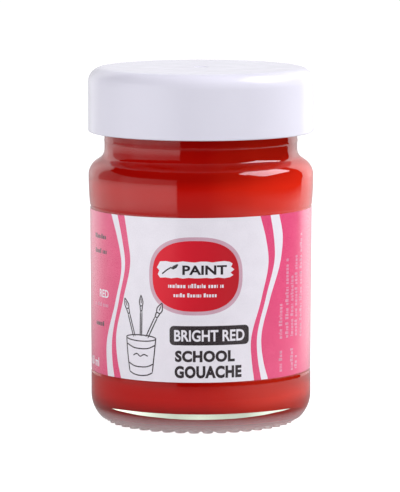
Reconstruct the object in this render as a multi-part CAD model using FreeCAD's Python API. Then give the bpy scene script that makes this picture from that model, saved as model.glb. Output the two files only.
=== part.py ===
"""Screw-top glass jar of red poster paint, millimetres, +Z up.

The origin is at the centre of the jar's foot, on the plane that it stands on, and -Y is the label's front.
The jar is a pressed round glass with a thick base, a heel, a shallow label panel, a short shoulder and a
continuous-thread neck. A smooth moulded lid screws onto it over a board wad with a film facing. The paint
fills the glass up to the neck, and a paper label wraps round the panel and leaves a gap at the back.
"""

import FreeCAD
import Part
import math
import os

# Driving dimensions
LID_RADIUS = 23.0
LID_BOTTOM_Z = 59.33
LID_TOP_Z = 72.45
RIM_Z = 69.4
THREAD_PITCH = 25.4 / 6
NECK_RADIUS = 19.7
THREAD_RADIUS = 20.95
BORE_RADIUS = 17.2
SHOULDER_RADIUS = 22.96
HEEL_RADIUS = 22.5
PANEL_TOP_RADIUS = 22.55
PANEL_BOTTOM_RADIUS = 22.36
LABEL_TOP_Z = 43.96
LABEL_BOTTOM_Z = 10.88

# Glass: foot and heel
FOOT_Z = 0.3
FOOT_INNER_RADIUS = 15.5
FOOT_OUTER_RADIUS = 18.3
HEEL_ARC = 6.6
HEEL_ARC_Z = 5.6
HEEL_SWEEP_DEG = 45.0
PUSH_UP_RADIUS = 14.4
PUSH_UP_EDGE_Z = 0.95
PUSH_UP_CENTRE_Z = 3.0
KNURL_COUNT = 42
KNURL_BAR_RADIUS = 1.15
KNURL_BAR_AXIS_Z = 0.4
KNURL_INNER = 16.0
KNURL_OUTER = 18.2

# Glass: label panel, shoulder and neck
PANEL_EASE = 0.35
PANEL_MARGIN = 0.32
ABOVE_PANEL_RADIUS = 22.70
SHOULDER_Z = 50.5
SHOULDER_ARC = 3.5
SHOULDER_SLOPE_DEG = 55.0
NECK_FILLET = 2.2
SEAM_Z = 57.5
SEAM_HEIGHT = 0.4
SEAM_PROUD = 0.12
RIM_OUTER_ROUND = 0.6
RIM_INNER_ROUND = 0.5
MOUTH_CUT_PAST = 1.0

# Glass: inside
WALL = 3.1
FLOOR_EDGE_Z = 4.2
FLOOR_CENTRE_Z = 6.0
FLOOR_CORNER = 3.0
INNER_SHOULDER_Z = 48.6
INNER_SHOULDER_ARC = 2.6
INNER_NECK_FILLET = 2.6

# Threads
THREAD_EMBED = 0.5
THREAD_SINK_PAST = 0.1
THREAD_FADE_DEG = 45.0
THREAD_STEP_DEG = 9.0
JAR_THREAD_START_Z = 61.6
JAR_THREAD_TURNS = 1.3
JAR_THREAD_BASE = 2.3
JAR_THREAD_CREST = 1.0
LID_THREAD_START_DEG = 100.0
LID_THREAD_TURNS = 1.2
LID_THREAD_BASE = 1.9
LID_THREAD_CREST = 0.8
LID_THREAD_HEIGHT = 1.1
THREAD_AXIAL_OFFSET = 1.72

# Lid and wad
LID_WALL = 1.8
LID_TOP_WALL = 2.0
LID_TOP_ROUND = 3.0
LID_MOUTH_ROUND = 0.35
LINER_RADIUS = 20.8
FACING_THICKNESS = 0.1
SEAL_GAP = 0.02
KEEPER_HEIGHT = 0.6
KEEPER_REACH = 0.55
KEEPER_DROP = 0.25

# Paint and label
PAINT_LEVEL_Z = 59.5
PAINT_GAP = 0.02
LABEL_THICKNESS = 0.1
LABEL_GAP = 0.015
LABEL_BACK_GAP = 4.0
LABEL_SKEW_DEG = 0.37

# Two points of an outline closer than this are the same point
SAME_POINT = 1e-6

lid_thread_start_z = JAR_THREAD_START_Z - THREAD_AXIAL_OFFSET + THREAD_PITCH * LID_THREAD_START_DEG / 360
lid_inner_radius = LID_RADIUS - LID_WALL
lid_inner_top_z = LID_TOP_Z - LID_TOP_WALL
inner_radius = HEEL_RADIUS - WALL


def point(radius, z):
    """A point of a half-section, in the XZ plane."""
    return FreeCAD.Vector(radius, 0, z)


def on_circle(centre, radius, degrees):
    """The point of a half-section at an angle above +X on a circle."""
    angle = math.radians(degrees)
    return centre + FreeCAD.Vector(radius * math.cos(angle), 0, radius * math.sin(angle))


class Outline:
    """A half-section drawn as lines and arcs, then turned about Z into a solid."""

    def __init__(self, start):
        self.start = start
        self.here = start
        self.edges = []

    def line(self, end):
        self.edges.append(Part.makeLine(self.here, end))
        self.here = end

    def through(self, middle, end):
        self.edges.append(Part.Arc(self.here, middle, end).toShape())
        self.here = end

    def arc(self, centre, radius, from_deg, to_deg):
        """An arc on a circle, after a line to its first point if the outline isn't there yet."""
        first = on_circle(centre, radius, from_deg)
        if (first - self.here).Length > SAME_POINT:
            self.line(first)
        self.through(on_circle(centre, radius, (from_deg + to_deg) / 2), on_circle(centre, radius, to_deg))

    def solid(self):
        if (self.here - self.start).Length > SAME_POINT:
            self.line(self.start)
        face = Part.Face(Part.Wire(self.edges))
        return face.revolve(FreeCAD.Vector(0, 0, 0), FreeCAD.Vector(0, 0, 1), 360)


def panel_radius(z):
    """Radius of the glass in the label panel, which tapers towards the foot."""
    low, high = LABEL_BOTTOM_Z, LABEL_TOP_Z
    share = (z - low) / (high - low)
    return PANEL_BOTTOM_RADIUS + share * (PANEL_TOP_RADIUS - PANEL_BOTTOM_RADIUS)


def inside_outline(clearance):
    """The inner wall from the axis on the floor up to the start of the bore, drawn in by a clearance."""
    outline = Outline(point(0, FLOOR_CENTRE_Z + clearance))
    corner = point(inner_radius - FLOOR_CORNER, FLOOR_EDGE_Z + FLOOR_CORNER)
    corner_arc = FLOOR_CORNER - clearance
    floor_end = on_circle(corner, corner_arc, -90)
    outline.through(point(floor_end.x / 2, (3 * FLOOR_CENTRE_Z + FLOOR_EDGE_Z) / 4 + clearance), floor_end)
    outline.arc(corner, corner_arc, -90, 0)
    shoulder = point(inner_radius - INNER_SHOULDER_ARC, INNER_SHOULDER_Z)
    outline.arc(shoulder, INNER_SHOULDER_ARC - clearance, 0, SHOULDER_SLOPE_DEG)
    outline.arc(inner_fillet_centre(), INNER_NECK_FILLET + clearance, 180 + SHOULDER_SLOPE_DEG, 180)
    return outline


def inner_fillet_centre():
    """Centre of the fillet between the inner shoulder's slope and the bore."""
    slope = math.radians(SHOULDER_SLOPE_DEG)
    tangent = on_circle(point(inner_radius - INNER_SHOULDER_ARC, INNER_SHOULDER_Z), INNER_SHOULDER_ARC,
                        SHOULDER_SLOPE_DEG)
    centre_radius = BORE_RADIUS + INNER_NECK_FILLET
    fillet_start_radius = centre_radius - INNER_NECK_FILLET * math.cos(slope)
    rise = (tangent.x - fillet_start_radius) / math.tan(slope)
    return point(centre_radius, tangent.z + rise + INNER_NECK_FILLET * math.sin(slope))


def glass_outside():
    """The outside of the glass as a turned solid, without knurls and thread."""
    outline = Outline(point(0, PUSH_UP_CENTRE_Z))
    outline.through(point(PUSH_UP_RADIUS / 2, (3 * PUSH_UP_CENTRE_Z + PUSH_UP_EDGE_Z) / 4),
                    point(PUSH_UP_RADIUS, PUSH_UP_EDGE_Z))
    outline.line(point(FOOT_INNER_RADIUS, FOOT_Z))
    outline.line(point(FOOT_OUTER_RADIUS, FOOT_Z))
    outline.arc(point(HEEL_RADIUS - HEEL_ARC, HEEL_ARC_Z), HEEL_ARC, -HEEL_SWEEP_DEG, 0)

    low_edge = LABEL_BOTTOM_Z - PANEL_MARGIN
    high_edge = LABEL_TOP_Z + PANEL_MARGIN
    bulge_bottom = high_edge + PANEL_EASE
    outline.line(point(HEEL_RADIUS, low_edge - PANEL_EASE))
    outline.line(point(panel_radius(low_edge), low_edge))
    outline.line(point(panel_radius(high_edge), high_edge))
    outline.line(point(ABOVE_PANEL_RADIUS, bulge_bottom))
    outline.through(point((3 * SHOULDER_RADIUS + ABOVE_PANEL_RADIUS) / 4, (SHOULDER_Z + bulge_bottom) / 2),
                    point(SHOULDER_RADIUS, SHOULDER_Z))

    slope = math.radians(SHOULDER_SLOPE_DEG)
    outline.arc(point(SHOULDER_RADIUS - SHOULDER_ARC, SHOULDER_Z), SHOULDER_ARC, 0, SHOULDER_SLOPE_DEG)
    run = outline.here.x - NECK_RADIUS - NECK_FILLET * (1 - math.cos(slope))
    fillet_z = outline.here.z + run / math.tan(slope) + NECK_FILLET * math.sin(slope)
    outline.arc(point(NECK_RADIUS + NECK_FILLET, fillet_z), NECK_FILLET, 180 + SHOULDER_SLOPE_DEG, 180)

    outline.line(point(NECK_RADIUS, SEAM_Z - SEAM_HEIGHT / 2))
    outline.through(point(NECK_RADIUS + SEAM_PROUD, SEAM_Z), point(NECK_RADIUS, SEAM_Z + SEAM_HEIGHT / 2))
    outline.arc(point(NECK_RADIUS - RIM_OUTER_ROUND, RIM_Z - RIM_OUTER_ROUND), RIM_OUTER_ROUND, 0, 90)
    outline.line(point(0, RIM_Z))
    return outline.solid()


def glass_cavity():
    """The hollow of the glass, with the bore opening through a rounded lip."""
    outline = inside_outline(0)
    lip = point(BORE_RADIUS + RIM_INNER_ROUND, RIM_Z - RIM_INNER_ROUND)
    outline.arc(lip, RIM_INNER_ROUND, 180, 90)
    outline.line(point(lip.x, RIM_Z + MOUTH_CUT_PAST))
    outline.line(point(0, RIM_Z + MOUTH_CUT_PAST))
    return outline.solid()


def knurl_bars():
    """Short radial bars round the foot, flat where they stand."""
    length = KNURL_OUTER - KNURL_INNER
    axis = FreeCAD.Vector(1, 0, 0)
    start = FreeCAD.Vector(KNURL_INNER, 0, KNURL_BAR_AXIS_Z)
    ends = [Part.makeSphere(KNURL_BAR_RADIUS, place) for place in (start, start + axis * length)]
    bar = Part.makeCylinder(KNURL_BAR_RADIUS, length, start, axis).fuse(ends)
    width = 2 * KNURL_BAR_RADIUS
    above_ground = Part.makeBox(HEEL_RADIUS, width, width, FreeCAD.Vector(0, -KNURL_BAR_RADIUS, 0))
    bar = bar.common(above_ground).removeSplitter()
    bars = []
    for index in range(KNURL_COUNT):
        turned = bar.copy()
        turned.rotate(FreeCAD.Vector(0, 0, 0), FreeCAD.Vector(0, 0, 1), index * 360.0 / KNURL_COUNT)
        bars.append(turned)
    return bars


def thread(wall_radius, height, base_width, crest_width, start_deg, start_z, turns, outward):
    """A one-start right-hand thread on a round wall, standing out of it or into it, sunk at both ends."""
    side = 1 if outward else -1
    sweep = 360.0 * turns
    steps = int(round(sweep / THREAD_STEP_DEG))
    places = []
    for index in range(steps + 1):
        turn = sweep * index / steps
        from_end = min(turn, sweep - turn, THREAD_FADE_DEG) / THREAD_FADE_DEG
        sunk = (height + THREAD_SINK_PAST) * (1 + math.cos(math.pi * from_end)) / 2
        radius = wall_radius - side * sunk
        angle = math.radians(start_deg + turn)
        z = start_z + THREAD_PITCH * turn / 360.0
        places.append(FreeCAD.Vector(radius * math.cos(angle), radius * math.sin(angle), z))
    spine = Part.BSplineCurve()
    spine.interpolate(places)

    origin = places[0]
    out = FreeCAD.Vector(math.cos(math.radians(start_deg)), math.sin(math.radians(start_deg)), 0) * side
    up = FreeCAD.Vector(0, 0, 1)
    flank = (base_width - crest_width) / 2 / height
    root_half = base_width / 2 + flank * THREAD_EMBED
    corners = [
        origin - out * THREAD_EMBED - up * root_half,
        origin + out * height - up * (crest_width / 2),
        origin + out * height + up * (crest_width / 2),
        origin - out * THREAD_EMBED + up * root_half,
    ]
    shell = Part.BRepOffsetAPI.MakePipeShell(Part.Wire(spine.toShape()))
    shell.setBiNormalMode(up)
    shell.add(Part.makePolygon(corners + corners[:1]))
    shell.build()
    shell.makeSolid()
    solid = shell.shape()
    if solid.Volume < 0:
        solid.reverse()
    return solid


def glass_jar():
    """The whole glass: wall, foot knurls and neck thread."""
    jar_thread = thread(NECK_RADIUS, THREAD_RADIUS - NECK_RADIUS, JAR_THREAD_BASE, JAR_THREAD_CREST,
                        0.0, JAR_THREAD_START_Z, JAR_THREAD_TURNS, True)
    return glass_outside().cut(glass_cavity()).fuse(knurl_bars()).fuse(jar_thread)


def lid_shell():
    """A one-wall lid with a rounded top edge, a ridge that keeps the wad in, and its thread."""
    outline = Outline(point(0, LID_TOP_Z))
    top_round = point(LID_RADIUS - LID_TOP_ROUND, LID_TOP_Z - LID_TOP_ROUND)
    outline.arc(top_round, LID_TOP_ROUND, 90, 0)
    mouth_outer = point(LID_RADIUS - LID_MOUTH_ROUND, LID_BOTTOM_Z + LID_MOUTH_ROUND)
    mouth_inner = point(lid_inner_radius + LID_MOUTH_ROUND, LID_BOTTOM_Z + LID_MOUTH_ROUND)
    outline.arc(mouth_outer, LID_MOUTH_ROUND, 0, -90)
    outline.arc(mouth_inner, LID_MOUTH_ROUND, -90, -180)

    keeper_z = RIM_Z - KEEPER_DROP
    outline.line(point(lid_inner_radius, keeper_z - KEEPER_HEIGHT))
    outline.line(point(lid_inner_radius - KEEPER_REACH, keeper_z - KEEPER_HEIGHT / 2))
    outline.line(point(lid_inner_radius, keeper_z))
    outline.line(point(lid_inner_radius, lid_inner_top_z))
    outline.line(point(0, lid_inner_top_z))
    lid_thread = thread(lid_inner_radius, LID_THREAD_HEIGHT, LID_THREAD_BASE, LID_THREAD_CREST,
                        LID_THREAD_START_DEG, lid_thread_start_z, LID_THREAD_TURNS, False)
    return outline.solid().fuse(lid_thread)


def liner_board():
    """The board wad, pressed into the top of the lid."""
    bottom = RIM_Z + SEAL_GAP + FACING_THICKNESS
    return Part.makeCylinder(LINER_RADIUS, lid_inner_top_z - SEAL_GAP - bottom, point(0, bottom))


def liner_facing():
    """The film that faces the wad where it meets the rim."""
    return Part.makeCylinder(LINER_RADIUS, FACING_THICKNESS, point(0, RIM_Z + SEAL_GAP))


def paint_fill():
    """The paint, up to its level in the neck."""
    outline = inside_outline(PAINT_GAP)
    outline.line(point(BORE_RADIUS - PAINT_GAP, PAINT_LEVEL_Z))
    outline.line(point(0, PAINT_LEVEL_Z))
    return outline.solid()


def wrap_label():
    """A paper strip round the panel, cut square, laid slightly askew and open at the back."""
    reach = SHOULDER_RADIUS * math.tan(math.radians(LABEL_SKEW_DEG))
    low = LABEL_BOTTOM_Z - reach
    high = LABEL_TOP_Z + reach
    outline = Outline(point(panel_radius(low) + LABEL_GAP, low))
    outline.line(point(panel_radius(low) + LABEL_GAP + LABEL_THICKNESS, low))
    outline.line(point(panel_radius(high) + LABEL_GAP + LABEL_THICKNESS, high))
    outline.line(point(panel_radius(high) + LABEL_GAP, high))
    sleeve = outline.solid()
    span = 3 * SHOULDER_RADIUS
    slab = Part.makeBox(span, span, LABEL_TOP_Z - LABEL_BOTTOM_Z,
                        FreeCAD.Vector(-span / 2, -span / 2, LABEL_BOTTOM_Z))
    middle = FreeCAD.Vector(0, 0, (LABEL_TOP_Z + LABEL_BOTTOM_Z) / 2)
    slab.rotate(middle, FreeCAD.Vector(0, 1, 0), -LABEL_SKEW_DEG)
    gap = Part.makeBox(LABEL_BACK_GAP, span, span, FreeCAD.Vector(-LABEL_BACK_GAP / 2, 0, 0))
    return sleeve.common(slab).cut(gap)


def main():
    os.makedirs("parts", exist_ok=True)
    makers = {
        "glass_jar": glass_jar,
        "paint_fill": paint_fill,
        "wrap_label": wrap_label,
        "lid_shell": lid_shell,
        "liner_board": liner_board,
        "liner_facing": liner_facing,
    }
    for name, make in makers.items():
        shape = make().removeSplitter()
        solids = shape.Solids
        print(name, "valid", shape.isValid(), "solids", len(solids), "volume", round(shape.Volume, 1))
        whole = solids[0] if len(solids) == 1 else Part.makeCompound(solids)
        whole.exportStep(os.path.join("parts", name + ".step"))


main()
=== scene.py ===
import bmesh
import bpy
import math
import numpy as np
import random
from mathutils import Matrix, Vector


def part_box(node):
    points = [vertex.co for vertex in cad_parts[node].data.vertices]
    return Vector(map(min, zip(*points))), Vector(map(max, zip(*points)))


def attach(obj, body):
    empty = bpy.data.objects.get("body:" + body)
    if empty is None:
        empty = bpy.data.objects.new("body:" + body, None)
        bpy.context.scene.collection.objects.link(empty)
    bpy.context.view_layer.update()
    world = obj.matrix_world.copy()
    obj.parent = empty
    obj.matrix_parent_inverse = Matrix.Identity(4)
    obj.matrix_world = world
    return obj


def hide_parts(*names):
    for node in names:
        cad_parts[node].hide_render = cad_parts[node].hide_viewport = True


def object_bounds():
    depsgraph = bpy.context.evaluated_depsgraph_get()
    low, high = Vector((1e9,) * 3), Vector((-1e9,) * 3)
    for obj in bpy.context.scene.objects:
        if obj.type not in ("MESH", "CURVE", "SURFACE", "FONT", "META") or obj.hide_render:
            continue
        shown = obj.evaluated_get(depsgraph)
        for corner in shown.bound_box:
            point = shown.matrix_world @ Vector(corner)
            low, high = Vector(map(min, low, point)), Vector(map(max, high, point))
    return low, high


# A screw-top glass jar of red poster paint. Shapes are worked out in millimetres and made in metres.
# Profiles are half-sections, (radius, height), turned about the upright axis. The label is drawn flat,
# (u along the paper from the middle of the front, v up), and then bent round the glass.

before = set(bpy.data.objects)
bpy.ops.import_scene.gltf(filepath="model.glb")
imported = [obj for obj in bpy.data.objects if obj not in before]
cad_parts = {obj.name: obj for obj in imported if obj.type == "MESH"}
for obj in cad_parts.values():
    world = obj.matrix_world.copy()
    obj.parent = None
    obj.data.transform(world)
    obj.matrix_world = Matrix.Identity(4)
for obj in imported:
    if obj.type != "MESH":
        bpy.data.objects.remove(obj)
cad_low, cad_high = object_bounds()
random.seed(17)

MM = 0.001


def box_mm(node):
    """Lowest and highest corner of a CAD node, in millimetres."""
    low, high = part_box(node)
    return [value / MM for value in low], [value / MM for value in high]


# ---------------------------------------------------------------- sizes, in millimetres

glass_high = box_mm("glass_jar")[1]
lid_low, lid_high = box_mm("lid_shell")
board_low, board_high = box_mm("liner_board")
facing_low, facing_high = box_mm("liner_facing")
paint_high = box_mm("paint_fill")[1]

# Glass, as in the CAD model
SHOULDER_RADIUS = round(glass_high[0], 2)
RIM_Z = round(glass_high[2], 2)
NECK_RADIUS = 19.7
THREAD_RADIUS = 20.95
BORE_RADIUS = 17.2
HEEL_RADIUS = 22.5
PANEL_TOP_RADIUS = 22.55
PANEL_BOTTOM_RADIUS = 22.36
FOOT_Z = 0.3
FOOT_INNER_RADIUS = 15.5
FOOT_OUTER_RADIUS = 18.3
HEEL_ARC = 6.6
HEEL_ARC_Z = 5.6
HEEL_SWEEP_DEG = 45.0
PUSH_UP_RADIUS = 14.4
PUSH_UP_EDGE_Z = 0.95
PUSH_UP_CENTRE_Z = 3.0
KNURL_COUNT = 42
KNURL_RADIUS = 1.15
KNURL_AXIS_Z = 0.4
KNURL_INNER = 16.0
KNURL_OUTER = 18.2
KNURL_TOP_Z = 1.2
PANEL_EASE = 0.35
PANEL_MARGIN = 0.32
ABOVE_PANEL_RADIUS = 22.70
SHOULDER_Z = 50.5
SHOULDER_ARC = 3.5
SHOULDER_SLOPE_DEG = 55.0
NECK_FILLET = 2.2
SEAM_Z = 57.5
SEAM_HEIGHT = 0.4
SEAM_PROUD = 0.12
RIM_ROUND = 0.6
WALL = 3.1
FLOOR_EDGE_Z = 4.2
FLOOR_CENTRE_Z = 6.0
FLOOR_CORNER = 3.0
INNER_SHOULDER_Z = 48.6
INNER_SHOULDER_ARC = 2.6
INNER_NECK_FILLET = 2.6
INNER_RADIUS = HEEL_RADIUS - WALL

# Threads
THREAD_PITCH = 25.4 / 6
THREAD_FADE_DEG = 45.0
JAR_THREAD_START_Z = 61.6
JAR_THREAD_TURNS = 1.3
JAR_THREAD_BASE = 2.3
JAR_THREAD_CREST = 1.0
LID_THREAD_START_DEG = 100.0
LID_THREAD_TURNS = 1.2
LID_THREAD_BASE = 1.9
LID_THREAD_CREST = 0.8
LID_THREAD_HEIGHT = 1.1
THREAD_AXIAL_OFFSET = 1.72
LID_THREAD_START_Z = JAR_THREAD_START_Z - THREAD_AXIAL_OFFSET + THREAD_PITCH * LID_THREAD_START_DEG / 360

# Lid and wad
LID_RADIUS = round(lid_high[0], 2)
LID_BOTTOM_Z = round(lid_low[2], 2)
LID_TOP_Z = round(lid_high[2], 2)
LID_WALL = 1.8
LID_TOP_WALL = 2.0
LID_TOP_ROUND = 3.0
LID_MOUTH_ROUND = 0.35
KEEPER_HEIGHT = 0.6
KEEPER_REACH = 0.55
KEEPER_Z = RIM_Z - 0.25
LINER_RADIUS = round(board_high[0], 2)

# Paint
PAINT_LEVEL_Z = round(paint_high[2], 2)
PAINT_IN_GLASS = 0.03
MENISCUS_HEIGHT = 0.5
MENISCUS_REACH = 2.4

# Label
LABEL_TOP_Z = 43.96
LABEL_BOTTOM_Z = 10.88
LABEL_THICKNESS = 0.1
LABEL_GAP = 0.015
LABEL_BACK_GAP = 4.0
LABEL_SKEW = math.tan(math.radians(0.37))
LABEL_MEAN_RADIUS = (PANEL_TOP_RADIUS + PANEL_BOTTOM_RADIUS) / 2 + LABEL_GAP + LABEL_THICKNESS
LABEL_REACH = math.pi * LABEL_MEAN_RADIUS - LABEL_BACK_GAP / 2
INK_STEP = 0.012

# The longest rows of the meshes
THREAD_ROW = 0.22
KNURL_ROW = 0.2
PLAIN_ROW = 1.6
WAD_ROW = 1.2


def placed(name, data):
    """A new object in the scene."""
    thing = bpy.data.objects.new(name, data)
    bpy.context.scene.collection.objects.link(thing)
    return thing


# ---------------------------------------------------------------- node materials

class Nodes:
    """A short way to write a node tree."""

    def __init__(self, tree):
        self.tree = tree
        tree.nodes.clear()

    def add(self, kind, **settings):
        node = self.tree.nodes.new(kind)
        for name, value in settings.items():
            setattr(node, name, value)
        return node

    def link(self, source, target):
        self.tree.links.new(source, target)

    def noise(self, place, scale, detail=2.0, roughness=0.5):
        """Noise over the object, in features per millimetre."""
        node = self.add("ShaderNodeTexNoise")
        self.link(place, node.inputs["Vector"])
        node.inputs["Scale"].default_value = scale / MM
        node.inputs["Detail"].default_value = detail
        node.inputs["Roughness"].default_value = roughness
        return node.outputs["Fac"]

    def stretched(self, place, scale):
        node = self.add("ShaderNodeMapping")
        self.link(place, node.inputs["Vector"])
        node.inputs["Scale"].default_value = scale
        return node.outputs["Vector"]

    def span(self, value, low, high, new_low, new_high):
        """A value from low to high, mapped to new limits and held there."""
        node = self.add("ShaderNodeMapRange")
        self.link(value, node.inputs["Value"])
        limits = {"From Min": low, "From Max": high, "To Min": new_low, "To Max": new_high}
        for name, number in limits.items():
            node.inputs[name].default_value = number
        return node.outputs["Result"]

    def between(self, factor, first, second):
        """A colour between two others."""
        node = self.add("ShaderNodeMix", data_type="RGBA")
        self.link(factor, node.inputs["Factor"])
        node.inputs["A"].default_value = (*first, 1.0)
        node.inputs["B"].default_value = (*second, 1.0)
        return node.outputs["Result"]

    def apart(self, place):
        """The X, Y and Z of a place."""
        node = self.add("ShaderNodeSeparateXYZ")
        self.link(place, node.inputs["Vector"])
        return node.outputs

    def mixed(self, factor, first, second):
        """A shader between two others."""
        node = self.add("ShaderNodeMixShader")
        for source, target in zip((factor, first, second), node.inputs):
            self.link(source, target)
        return node.outputs["Shader"]

    def maths(self, operation, first, second=None):
        """One step of arithmetic on a value, with a second value or number if the step needs it."""
        node = self.add("ShaderNodeMath", operation=operation)
        self.link(first, node.inputs[0])
        if isinstance(second, (int, float)):
            node.inputs[1].default_value = second
        elif second is not None:
            self.link(second, node.inputs[1])
        return node.outputs[0]

    def bump(self, height, strength, distance):
        """A normal from a height, with the distance in millimetres."""
        node = self.add("ShaderNodeBump")
        self.link(height, node.inputs["Height"])
        node.inputs["Strength"].default_value = strength
        node.inputs["Distance"].default_value = distance * MM
        return node.outputs["Normal"]


def new_material(name, **plain):
    """A Principled material with some plain values set, its nodes, and its place output."""
    material = bpy.data.materials.new(name)
    material.use_nodes = True
    nodes = Nodes(material.node_tree)
    shader = nodes.add("ShaderNodeBsdfPrincipled")
    output = nodes.add("ShaderNodeOutputMaterial")
    nodes.link(shader.outputs["BSDF"], output.inputs["Surface"])
    for socket, value in plain.items():
        shader.inputs[socket.replace("_", " ")].default_value = value
    place = nodes.add("ShaderNodeTexCoord").outputs["Object"]
    return material, nodes, shader, output, place


FOOT_ROUGH_Z = (0.8 * MM, 1.6 * MM)
FOOT_WHITE_Z = (0.5 * MM, 3.5 * MM)
# Painted light on the paint: lighter towards its right, where the key light falls
PAINTED_LIGHT_SIDE_X = (1 * MM, 10 * MM)
# Painted shade on the paint: darker in the neck, under the lid
PAINTED_SHADE_NECK_Z = (48.5 * MM, 52.5 * MM)


def glass_material():
    """Clear pressed glass, faintly green, with slow moulding waves, rougher and whiter at the foot."""
    material, nodes, shader, output, place = new_material(
        "clear_glass", Roughness=0.0, IOR=1.52, Transmission_Weight=1.0)
    waves = nodes.noise(place, 0.12, 1.0)
    tint = nodes.between(waves, (0.965, 0.99, 0.975), (0.98, 0.995, 0.985))
    nodes.link(tint, shader.inputs["Base Color"])
    nodes.link(nodes.bump(waves, 0.06, 0.5), shader.inputs["Normal"])
    apart = nodes.apart(place)
    nodes.link(nodes.span(apart["Z"], *FOOT_ROUGH_Z, 0.4, 0.0), shader.inputs["Roughness"])
    nodes.link(nodes.span(apart["Z"], *FOOT_WHITE_Z, 0.5, 1.0), shader.inputs["Transmission Weight"])
    path = nodes.add("ShaderNodeLightPath")
    surface = shader.outputs["BSDF"]
    for ray in ("Is Diffuse Ray", "Is Shadow Ray"):
        straight = nodes.add("ShaderNodeBsdfTransparent")
        straight.inputs["Color"].default_value = (0.95, 0.97, 0.96, 1.0)
        surface = nodes.mixed(path.outputs[ray], surface, straight.outputs["BSDF"])
    nodes.link(surface, output.inputs["Surface"])
    body = nodes.add("ShaderNodeVolumeAbsorption")
    body.inputs["Color"].default_value = (0.78, 0.95, 0.62, 1.0)
    body.inputs["Density"].default_value = 12.0
    nodes.link(body.outputs["Volume"], output.inputs["Volume"])
    return material


def paint_material():
    """Thick red poster paint with a slow random unevenness. Painted light makes it lighter towards its
    right, where the key light falls, and painted shade makes it darker in the neck, under the lid. The
    painted light and shade are fixed to the jar.
    """
    material, nodes, shader, _, place = new_material("red_poster_paint", Roughness=0.45, IOR=1.4)
    shader.inputs["Specular IOR Level"].default_value = 0.0
    slow = nodes.noise(nodes.stretched(place, (1.0, 1.0, 0.35)), 0.09, 2.0)
    fine = nodes.noise(place, 1.2, 3.0)
    apart = nodes.apart(place)
    # painted light: the paint grows lighter towards its right, where the key light falls, with a slow
    # random unevenness on top
    across = nodes.maths("ADD", nodes.span(apart["X"], *PAINTED_LIGHT_SIDE_X, 0.0, 0.9),
                         nodes.span(slow, 0.35, 0.65, -0.1, 0.1))
    # painted shade: the paint darkens in the neck, where the lid shadows it
    painted_neck_shade = nodes.add("ShaderNodeMix", data_type="RGBA")
    nodes.link(nodes.span(apart["Z"], *PAINTED_SHADE_NECK_Z, 0.0, 0.55), painted_neck_shade.inputs["Factor"])
    nodes.link(nodes.between(across, (0.56, 0.0050, 0.0026), (0.78, 0.026, 0.0090)), painted_neck_shade.inputs["A"])
    painted_neck_shade.inputs["B"].default_value = (0.26, 0.0018, 0.0010, 1.0)
    nodes.link(painted_neck_shade.outputs["Result"], shader.inputs["Base Color"])
    nodes.link(nodes.bump(fine, 0.15, 0.05), shader.inputs["Normal"])
    return material


def lid_material():
    """Glossy white moulded plastic with a cool tint and a slight orange peel."""
    material, nodes, shader, _, place = new_material("white_lid_plastic", IOR=1.49)
    peel = nodes.noise(place, 0.3, 1.0)
    flow = nodes.noise(nodes.stretched(place, (1.0, 1.0, 0.3)), 0.08, 2.0)
    streaks = nodes.span(flow, 0.35, 0.65, 0.0, 1.0)
    colour = nodes.between(streaks, (0.76, 0.766, 0.82), (0.785, 0.791, 0.846))
    nodes.link(colour, shader.inputs["Base Color"])
    nodes.link(nodes.span(peel, 0.3, 0.7, 0.2, 0.25), shader.inputs["Roughness"])
    nodes.link(nodes.bump(peel, 0.03, 0.02), shader.inputs["Normal"])
    return material


def paper_material(name, first, second, roughness=0.28):
    """Varnished label paper or an ink on it: a fibre grain under a soft gloss, and slightly uneven ink."""
    material, nodes, shader, _, place = new_material(name, IOR=1.45, Coat_Weight=1.0, Coat_Roughness=0.2)
    fibres = nodes.noise(nodes.stretched(place, (1.0, 1.0, 2.2)), 5.0, 3.0)
    patches = nodes.span(nodes.noise(place, 0.35, 2.0), 0.35, 0.65, 0.0, 1.0)
    nodes.link(nodes.between(patches, first, second), shader.inputs["Base Color"])
    gloss = nodes.span(fibres, 0.3, 0.7, roughness - 0.05, roughness + 0.05)
    nodes.link(gloss, shader.inputs["Roughness"])
    nodes.link(nodes.bump(fibres, 0.2, 0.02), shader.inputs["Normal"])
    return material


def badge_material(left_edge, right_edge):
    """Red ink that darkens from the badge's left to its right."""
    material, nodes, shader, _, place = new_material("ink_badge_red", IOR=1.45, Roughness=0.28)
    apart = nodes.apart(place)
    across = nodes.span(apart["X"], left_edge * MM, right_edge * MM, 0.0, 1.0)
    colour = nodes.between(across, (0.80, 0.010, 0.030), (0.50, 0.006, 0.014))
    nodes.link(colour, shader.inputs["Base Color"])
    nodes.link(nodes.bump(nodes.noise(place, 5.0, 3.0), 0.2, 0.02), shader.inputs["Normal"])
    return material


def board_material():
    """Grey-white pulp board, with short fibres and flecks."""
    material, nodes, shader, _, place = new_material("pulp_board", IOR=1.45, Roughness=0.9)
    fibres = nodes.noise(nodes.stretched(place, (1.0, 1.0, 4.0)), 2.4, 5.0, 0.65)
    shade = nodes.span(fibres, 0.3, 0.7, 0.0, 1.0)
    nodes.link(nodes.between(shade, (0.52, 0.50, 0.45), (0.72, 0.70, 0.64)), shader.inputs["Base Color"])
    nodes.link(nodes.bump(fibres, 0.5, 0.08), shader.inputs["Normal"])
    return material


def film_material():
    """A satin off-white film, which shows the board's grain faintly."""
    material, nodes, shader, _, place = new_material("liner_film", IOR=1.5)
    grain = nodes.noise(place, 1.6, 3.0)
    nodes.link(nodes.between(grain, (0.74, 0.74, 0.72), (0.82, 0.82, 0.80)), shader.inputs["Base Color"])
    nodes.link(nodes.span(grain, 0.3, 0.7, 0.3, 0.45), shader.inputs["Roughness"])
    nodes.link(nodes.bump(grain, 0.3, 0.03), shader.inputs["Normal"])
    return material


# ---------------------------------------------------------------- turned shapes

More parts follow.
